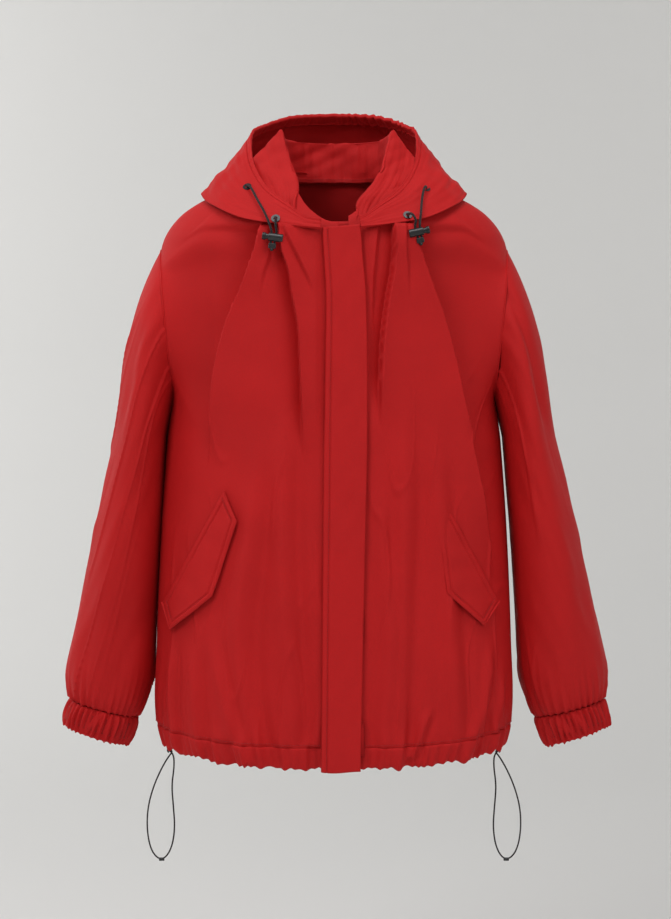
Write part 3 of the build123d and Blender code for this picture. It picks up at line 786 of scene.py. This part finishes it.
# ---- hood ----
# The open hood round the neck: at each angle from the back, (radius, height) from the brim, out
# over the shoulder to the fold, and back under it.
HOOD_MID_Y = -14.0
HOOD = {
    0: [(104, 134), (138, 108), (167, 30), (154, -92), (136, -8)],
    14: [(104, 133), (138, 107), (167, 29), (154, -86), (136, -8)],
    32: [(105, 129), (138, 102), (168, 24), (154, -64), (138, -2)],
    60: [(107, 112), (130, 87), (162, 34), (170, -2), (152, 18)],
    76: [(108, 102), (126, 76), (154, 38), (172, 10), (154, 24)],
    90: [(108, 90), (122, 70), (146, 41), (172, 14), (155, 26)],
    112: [(110, 48), (122, 38), (148, 18), (168, -7), (159, 1)],
    132: [(112, 13), (121, 4), (136, -12), (151, -29), (144, -26)],
    150: [(113.5, -11), (119, -17), (123, -26), (129, -37), (125, -38)],
    162: [(115, -27), (118, -31), (120.5, -35), (123, -40), (120.5, -42)],
    172: [(115, -32), (117, -35), (119, -38), (120.5, -42), (118, -44)],
}
ROLL = 1.8               # how far the brim's inner facing stands inside its outer cloth


def hood_surface(angle, t):
    """Hood cloth at an angle (degrees, + to the wearer's left) and a share t of its section."""
    keys = sorted(HOOD)
    corners = np.array([HOOD[k] for k in keys], float)
    a, t = np.broadcast_arrays(np.abs(angle), t)
    radius = np.stack([through(a, keys, corners[:, k, 0]) for k in range(5)])
    height = np.stack([through(a, keys, corners[:, k, 1]) for k in range(5)])
    marks = np.array([0.0, 0.27, 0.55, 0.84, 1.0])
    i = np.clip(np.searchsorted(marks, t, side="right") - 1, 0, 3)
    s = (t - marks[i]) / (marks[i + 1] - marks[i])

    def along(values):
        """Cubic through the five points, with a sharp turn at the fold."""
        pick = lambda k: np.take_along_axis(values, np.clip(k, 0, 4)[None], 0)[0]
        before, here, there, after = pick(i - 1), pick(i), pick(i + 1), pick(i + 2)
        m0 = np.where(i > 0, (there - before) / 2, there - here)
        m1 = np.where(i < 2, (after - here) / 2, there - here)
        m0 = np.where(i == 3, there - here, m0)
        return (here * (2 * s ** 3 - 3 * s ** 2 + 1) + m0 * (s ** 3 - 2 * s ** 2 + s)
                + there * (3 * s ** 2 - 2 * s ** 3) + m1 * (s ** 3 - s ** 2))

    r, z = along(radius), along(height)
    turn = np.radians(angle)
    return np.stack([r * np.sin(turn), HOOD_MID_Y + r * np.cos(turn), z], -1)


def hood():
    angle = np.concatenate([np.linspace(-172, -32, 210), np.linspace(-32, 32, 100)[1:-1],
                            np.linspace(32, 164, 200)])[None, :]
    t = np.concatenate([np.linspace(0.12, 0, 16), np.linspace(0, 0.84, 96)[1:],
                        np.linspace(0.84, 1.0, 18)[1:]])[:, None]
    facing = (np.arange(len(t)) < 15)[:, None]
    points = hood_surface(angle, t)
    around = angle * 2.2
    gather = puckers(around, 15, 101) * (0.35 + 0.65 * bell(angle - 42, 34))
    fine = puckers(around, 7.5, 103) * (0.3 + 0.7 * bell(angle - 50, 26))
    band = 1 - ease((t - 0.115) / 0.03)
    fade = np.exp(-np.maximum(t - 0.12, 0) / 0.10)
    side_fade = 1 - ease((np.abs(angle) - 125) / 25)
    out = (3.0 * (gather - 0.5) + 1.4 * (fine - 0.5)) * (0.45 * band + 0.55 * fade) * side_fade
    out = out - 1.1 * bell(t - 0.12, 0.012)
    soft = 1.7 * drift(around, t * 210, 80, 105) + 0.9 * drift(around, t * 210, 34, 106)
    out = out + soft * ease((t - 0.15) / 0.15) * (1 - ease((t - 0.72) / 0.12)) \
        * (1 - ease((np.abs(angle) - 100) / 40) * 0.7)
    for at, lean, rise, wide in ((52, 90, 3.2, 5), (60, 60, -3.0, 5), (68, 40, 2.6, 4),
                                 (-76, 30, -1.6, 2.0)):
        line = at + lean * (t - 0.5)
        out = out + rise * bell(angle - line, wide) * bell(t - 0.52, 0.26)
    out = np.where(facing, out - ROLL, out)
    out = out + np.where(facing, 0, 0.9 * bell(t, 0.02))
    square = hood_outward(angle, t)
    points = points + square * out[..., None]
    inside = (0, HOOD_MID_Y, 20)
    mid = (angle[0, 1:] + angle[0, :-1]) / 2
    rows = np.arange(len(t) - 1)[:, None]
    brim = rows < 30
    masks = {
        "hood_side_left": ~brim & (mid > 32), "hood_side_right": ~brim & (mid < -32),
        "hood_centre": ~brim & (np.abs(mid) <= 32), "hood_brim_channel": brim & (mid > -999),
    }
    for name, mask in masks.items():
        piece = mesh(f"{name}_cloth", points, "shell_cloth", "hood", keep=mask, thick=CLOTH,
                     inside=inside)
        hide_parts(name)
    for name, row, lift in (("hood_facing_stitches", 1, -1.0), ("hood_brim_stitches", 29, 1.0)):
        stitches(name, points[row] + square[row] * lift * 0.2, square[row] * lift, "hood")


def hood_outward(angle, t):
    """Unit vectors square to the hood's cloth that look away from its inside, from small steps
    of the surface each way."""
    across = hood_surface(angle + 0.4, t) - hood_surface(angle - 0.4, t)
    down = hood_surface(angle, t + 0.004) - hood_surface(angle, t - 0.004)
    square = unit(np.cross(down, across))
    turn = np.radians(angle)
    away = spots(np.sin(turn), np.cos(turn), 0.35)
    return square * np.sign(np.sum((square * away)[20:80]))


hood()


# ---- stand collar ----
def collar():
    """Standing collar, open in front, whose front parts fold outwards like a lapel.

    Its plan runs from one free end over the fold to the back and on to the other side, and each
    height has its own plan. The front edges fall to the throat."""
    u = np.linspace(-1, 1, 300)[None, :]
    v = np.linspace(0, 1, 70)[:, None]
    a = np.abs(u)
    left = u < 0
    marks = [0.0, 0.2, 0.42, 0.62, 0.72]
    top = np.where(a < 0.72, through(a, marks, [90, 90, 88, 88, 91]), 91 - 36 * (a - 0.72) / 0.28)
    low = np.where(a < 0.72, through(a, marks, [37, 36, 30, -4, -34]), -34 - 6 * (a - 0.72) / 0.28)
    z = low + (top - low) * v
    heights = [-40, -6, 10, 32, 60, 92]
    fold_l = through(z, heights, [46, 48, 46, 50, 58, 68])
    fold_r = through(z, heights, [26, 32, 46, 58, 67, 76])
    fold_x = np.where(left, fold_l, fold_r)
    fold_y = through(z, heights, [-118, -104, -92, -78, -64, -52])
    end_x = through(z, heights, [60, 78, 86, 96, 103, 99])
    end_y = through(z, heights, [-112, -92, -80, -62, -46, -34])
    back_x = through(a, marks, [0, 32, 62, 69, 60]) * (0.92 + 0.08 * ease((z + 30) / 100))
    back_y = through(a, marks, [66, 58, 20, -40, -70])
    near = ease((a - 0.42) / 0.30)
    x = np.where(a < 0.72, back_x * (1 - near) + fold_x * near,
                 fold_x + (end_x - fold_x) * np.maximum((a - 0.72) / 0.28, 0) ** 0.85)
    y = np.where(a < 0.72, back_y * (1 - near) + fold_y * near,
                 fold_y + (end_y - fold_y) * (a - 0.72) / 0.28)
    points = spots(x * np.sign(u + 1e-9), y, z)
    run = u * 260
    soft = 1.5 * drift(run, z, 60, 120) + 0.7 * drift(run, z, 24, 121)
    gathers = 2.2 * (puckers(run, 9, 122) - 0.5) * np.exp(-v * 3.2) * ease((a - 0.35) / 0.2)
    points = push(points, (soft + gathers) * ease((1 - v) / 0.04 + 0.3), (0, -20, 40))
    piece = mesh("stand_collar_cloth", points, "shell_cloth", "jacket", inside=(0, -20, 40),
                 thick=DOUBLE)
    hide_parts("stand_collar")
    seam = slice(96, 204)
    strip = push(points[1:9, seam], -DOUBLE - 0.6, (0, -20, 40))
    tape = mesh("neck_tape_strip", strip, "lining_cloth", "jacket", inside=(0, -20, 40), thick=0.8)
    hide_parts("neck_tape")


collar()


# ---- storm flap and what lies under it ----
FLAP_LEFT = [(-16, -716), (-14, -450), (-12.3, -279), (-11.1, -191), (-10.6, -120), (-12.3, -88),
             (-14.6, -49), (-15, -36)]
FLAP_RIGHT = [(33, -716), (38.5, -454), (41.8, -279), (41, -159), (39.8, -120), (36.0, -77),
              (33.8, -46), (33.4, -36)]
FLAP_OUT = 6.2


def front_plane(z):
    """y of the leaning front edge, where the zip closes."""
    top, foot = (-122.0, -46.0), (-140.0, -716.0)
    return top[0] + (foot[0] - top[0]) * (top[1] - z) / (top[1] - foot[1])


def storm_flap():
    """Long strip over the zip, crowned a little, whose free edge stands off the panel."""
    v = np.linspace(0, 1, 330)[:, None]
    u = np.linspace(0, 1, 60)[None, :]
    z_mid = -715.5 + (715.5 - 39.5) * v
    left = through(z_mid, *np.array(FLAP_LEFT)[:, ::-1].T)
    right = through(z_mid, *np.array(FLAP_RIGHT)[:, ::-1].T)
    x = left + (right - left) * u
    z = z_mid + 4.0 * (u - 0.5) * v ** 12 - 1.0 * (1 - v) ** 20 * np.sin(u * 5)
    wander = 0.9 * drift(x, z * 0.25, 90, 140) + 0.35 * drift(x, z * 0.6, 34, 141)
    out = FLAP_OUT + 1.0 * np.sin(np.pi * u) + wander * ease(u / 0.2)
    out -= 1.5 * bell(u - 0.15, 0.018) + 3.4 * (1 - ease(u / 0.03)) + 1.2 * ease((u - 0.97) / 0.03)
    points = np.stack([x, front_plane(z) - out, z], -1)
    piece = mesh("storm_flap_cloth", points, "shell_cloth", "storm_flap", inside=(10, 0, -380),
                 thick=DOUBLE)
    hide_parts("storm_flap")
    col = int(0.15 * 59)
    ahead = np.tile([0.0, -1.0, 0.0], (len(points), 1))
    stitches("storm_flap_stitches", points[:, col] + ahead * 0.1, ahead, "storm_flap")
    guard_x = np.linspace(-10, 34, 24)[None, :]
    z = np.linspace(-700, -32, 160)[:, None]
    ripple = 0.8 * drift(guard_x, z * 0.3, 50, 150)
    guard = spots(guard_x, front_plane(z) + 13.0 + ripple, z)
    backing = mesh("zip_guard_cloth", guard, "shell_cloth", "jacket", inside=(12, 0, -380),
                   thick=CLOTH)
    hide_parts("zip_guard")


storm_flap()

# ---- pockets ----
# Corners of each flap as (x, z): its sewn edge from top to bottom, then the free edge back.
POCKETS = {
    "right": [(-136.4, -369), (-215, -511), (-203.7, -545), (-149.4, -500), (-119, -406.6)],
    "left": [(132.8, -373), (206.5, -508), (185.5, -538.5), (138.9, -496), (128.6, -406.6)],
}
FLAP_LIFT = 3.4


def pocket_surface(x, z, lift):
    """Point that far in front of the torso's smooth front, square to it in plan."""
    y = front_y(x, z)
    slope = (front_y(x + 0.5, z) - front_y(x - 0.5, z)) / 1.0
    size = np.sqrt(1 + slope ** 2)
    return np.stack([x + slope * lift / size, y - lift / size, z], -1)


def pocket(side, corners):
    """Pointed flap: strips from its sewn edge to its free edge, thinned at the edge, with a
    stitched groove 6 mm inside the outline, a welt under the seam and a bag inside."""
    sign = 1 if side == "left" else -1
    s0, s1, tip, low, high = np.array(corners, float)
    free = np.array([s0, high, low, tip, s1])
    run = run_along(free)
    u = np.linspace(0, 1, 120)
    share = run / run[-1]
    u = np.sort(np.concatenate([u[1:-1], share]))
    edge = np.stack([np.interp(u, share, free[:, k]) for k in (0, 1)], 1)
    seam_at = np.interp(u, share, [0, 0.16, 0.80, 0.985, 1.0])[:, None]
    seam = s0 + (s1 - s0) * seam_at
    v = np.linspace(0, 1, 46)[:, None, None]
    flat = seam[None] * (1 - v) + edge[None] * v
    x, z = flat[..., 0], flat[..., 1]
    outline = np.concatenate([free, free[:1]])
    d = np.full(x.shape, 1e9)
    for a, b in zip(outline[:-1], outline[1:]):
        k = b - a
        w = np.clip(((x - a[0]) * k[0] + (z - a[1]) * k[1]) / (k @ k), 0, 1)
        d = np.minimum(d, np.hypot(x - a[0] - w * k[0], z - a[1] - w * k[1]))
    lift = FLAP_LIFT + 1.2 * ease(d / 3) + 0.8 * ease(d / 22) - 1.5 * bell(d - 6, 1.0)
    lift = lift + 2.4 * v[..., 0] ** 2
    lift = lift + 0.5 * drift(x, z, 50, 160 + sign)
    points = pocket_surface(x, z, lift)
    piece = mesh(f"pocket_flap_{side}_cloth", points, "shell_cloth", f"pocket_flap_{side}",
                 inside=(0, 0, -450), thick=DOUBLE)
    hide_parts(f"pocket_flap_{side}")
    centre = free.mean(axis=0)
    inset = [centre + (p - centre) * (1 - 7.5 / np.linalg.norm(p - centre)) for p in free]
    inset = np.array(inset)
    dense = np.concatenate([a + (b - a) * np.linspace(0, 1, 40)[:, None]
                            for a, b in zip(inset[:-1], inset[1:])])
    path = pocket_surface(dense[:, 0], dense[:, 1], np.full(len(dense), FLAP_LIFT + 1.5))
    out = path - pocket_surface(dense[:, 0], dense[:, 1], np.zeros(len(dense)))
    stitches(f"pocket_{side}_stitches", path, out, f"pocket_flap_{side}")
    along = np.linspace(0.04, 0.96, 90)[None, :, None]
    turn = np.linspace(0, 2 * np.pi, 17)[:, None]
    line = s0 + (s1 - s0) * along
    inward = np.array([-(s1 - s0)[1], (s1 - s0)[0]]) * sign
    inward = unit(inward) * np.sign((centre - s0) @ inward)
    wide = line + inward * (6 + 5 * np.cos(turn))[..., None]
    depth = 0.6 + 1.6 * np.sin(turn) * np.ones((1, 90))
    welt = pocket_surface(wide[..., 0], wide[..., 1], depth)
    lip = mesh(f"pocket_welt_{side}_cloth", welt, "shell_cloth", "jacket",
               inside=tuple(pocket_surface(*(s0 / 2 + s1 / 2 + inward * 6), 0.6)))
    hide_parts(f"pocket_welt_{side}")
    bag_x = np.linspace(88, 196, 60)[None, :] * sign
    bag_z = np.linspace(-560, -378, 90)[:, None]
    dip = 10 + 1.5 * drift(bag_x, bag_z, 60, 170)
    bag_x, bag_z = np.broadcast_arrays(bag_x, bag_z)
    bag = pocket_surface(bag_x, bag_z, -dip)
    sack = mesh(f"pocket_bag_{side}_cloth", bag, "lining_cloth", "jacket", inside=(0, 0, -450),
                thick=1.2)
    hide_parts(f"pocket_bag_{side}")


for side, corners in POCKETS.items():
    pocket(side, corners)


# ---- studio ----
# Profile of the floor and wall: distance from the middle and height, in metres.
STUDIO = [(0.0001, -1.16), (1.0, -1.16), (2.0, -1.16), (3.0, -1.16), (3.6, -1.12), (4.2, -1.0),
          (4.8, -0.76), (5.3, -0.4), (5.7, 0.1), (5.9, 0.8), (6.0, 1.8), (6.0, 4.0)]


def studio():
    """Round pale studio: a level floor that curves up into a wall, the same from every side.

    Its outside is clear, so that it can be looked into from further away."""
    turn = np.linspace(0, 2 * np.pi, 96, endpoint=False)[None, :]
    r, z = np.array(STUDIO).T[..., None] * 1000
    points = spots(r * np.cos(turn), r * np.sin(turn), z)
    data = bpy.data.meshes.new("studio_floor")
    quads = grid_quads(*points.shape[:2])[..., ::-1].reshape(-1, 4)
    data.from_pydata((points.reshape(-1, 3) * MM).tolist(), [], quads.tolist())
    data.polygons.foreach_set("use_smooth", np.ones(len(quads), bool))
    floor = place("studio_floor", data)
    paint = bpy.data.materials.new("studio_paint")
    paint.use_nodes = True
    skin = paint.node_tree.nodes["Principled BSDF"]
    skin.inputs["Base Color"].default_value = (0.72, 0.715, 0.70, 1)
    skin.inputs["Roughness"].default_value = 0.9
    skin.inputs["Specular IOR Level"].default_value = 0.1
    tree = paint.node_tree
    side = node(tree, "ShaderNodeNewGeometry")
    clear = node(tree, "ShaderNodeBsdfTransparent")
    mix = node(tree, "ShaderNodeMixShader")
    tree.links.new(side.outputs["Backfacing"], mix.inputs[0])
    tree.links.new(skin.outputs["BSDF"], mix.inputs[1])
    tree.links.new(clear.outputs["BSDF"], mix.inputs[2])
    tree.links.new(mix.outputs["Shader"], tree.nodes["Material Output"].inputs["Surface"])
    data.materials.append(paint)


def lamp(name, at, aim, size, watts):
    """Rectangular soft light at a place, turned to look at another."""
    data = bpy.data.lights.new(name, "AREA")
    data.shape = "RECTANGLE"
    data.size, data.size_y = size
    data.energy = watts
    obj = place(name, data)
    obj.location = at
    obj.rotation_euler = (Vector(aim) - Vector(at)).to_track_quat("-Z", "Y").to_euler()


def lights():
    lamp("key", (-1.7, -2.6, 1.7), (0, 0, -0.35), (1.2, 1.2), 34)
    lamp("fill", (2.4, -2.6, 0.5), (0, 0, -0.4), (2.0, 2.0), 22)
    lamp("top", (0.0, -1.1, 2.4), (0, 0, -0.2), (1.6, 1.2), 36)
    lamp("rim_left", (-2.6, 1.6, 0.6), (0, 0, -0.3), (1.2, 2.0), 10)
    lamp("rim_right", (2.6, 1.6, 0.6), (0, 0, -0.3), (1.2, 2.0), 5)
    lamp("floor_left", (-2.4, 0.4, 0.9), (-0.9, 1.5, -1.16), (1.4, 1.4), 24)
    lamp("wall_left", (-2.6, 3.2, 1.8), (-2.0, 6.0, 0.2), (2.0, 2.0), 52)
    lamp("wall_right", (2.6, 3.0, 2.2), (2.2, 6.0, 0.0), (2.0, 2.0), 17)
    world = bpy.data.worlds.new("soft_room")
    world.use_nodes = True
    world.node_tree.nodes["Background"].inputs["Color"].default_value = (0.86, 0.86, 0.87, 1)
    world.node_tree.nodes["Background"].inputs["Strength"].default_value = 0.38
    bpy.context.scene.world = world


studio()
lights()
bpy.context.scene.view_settings.view_transform = "Standard"
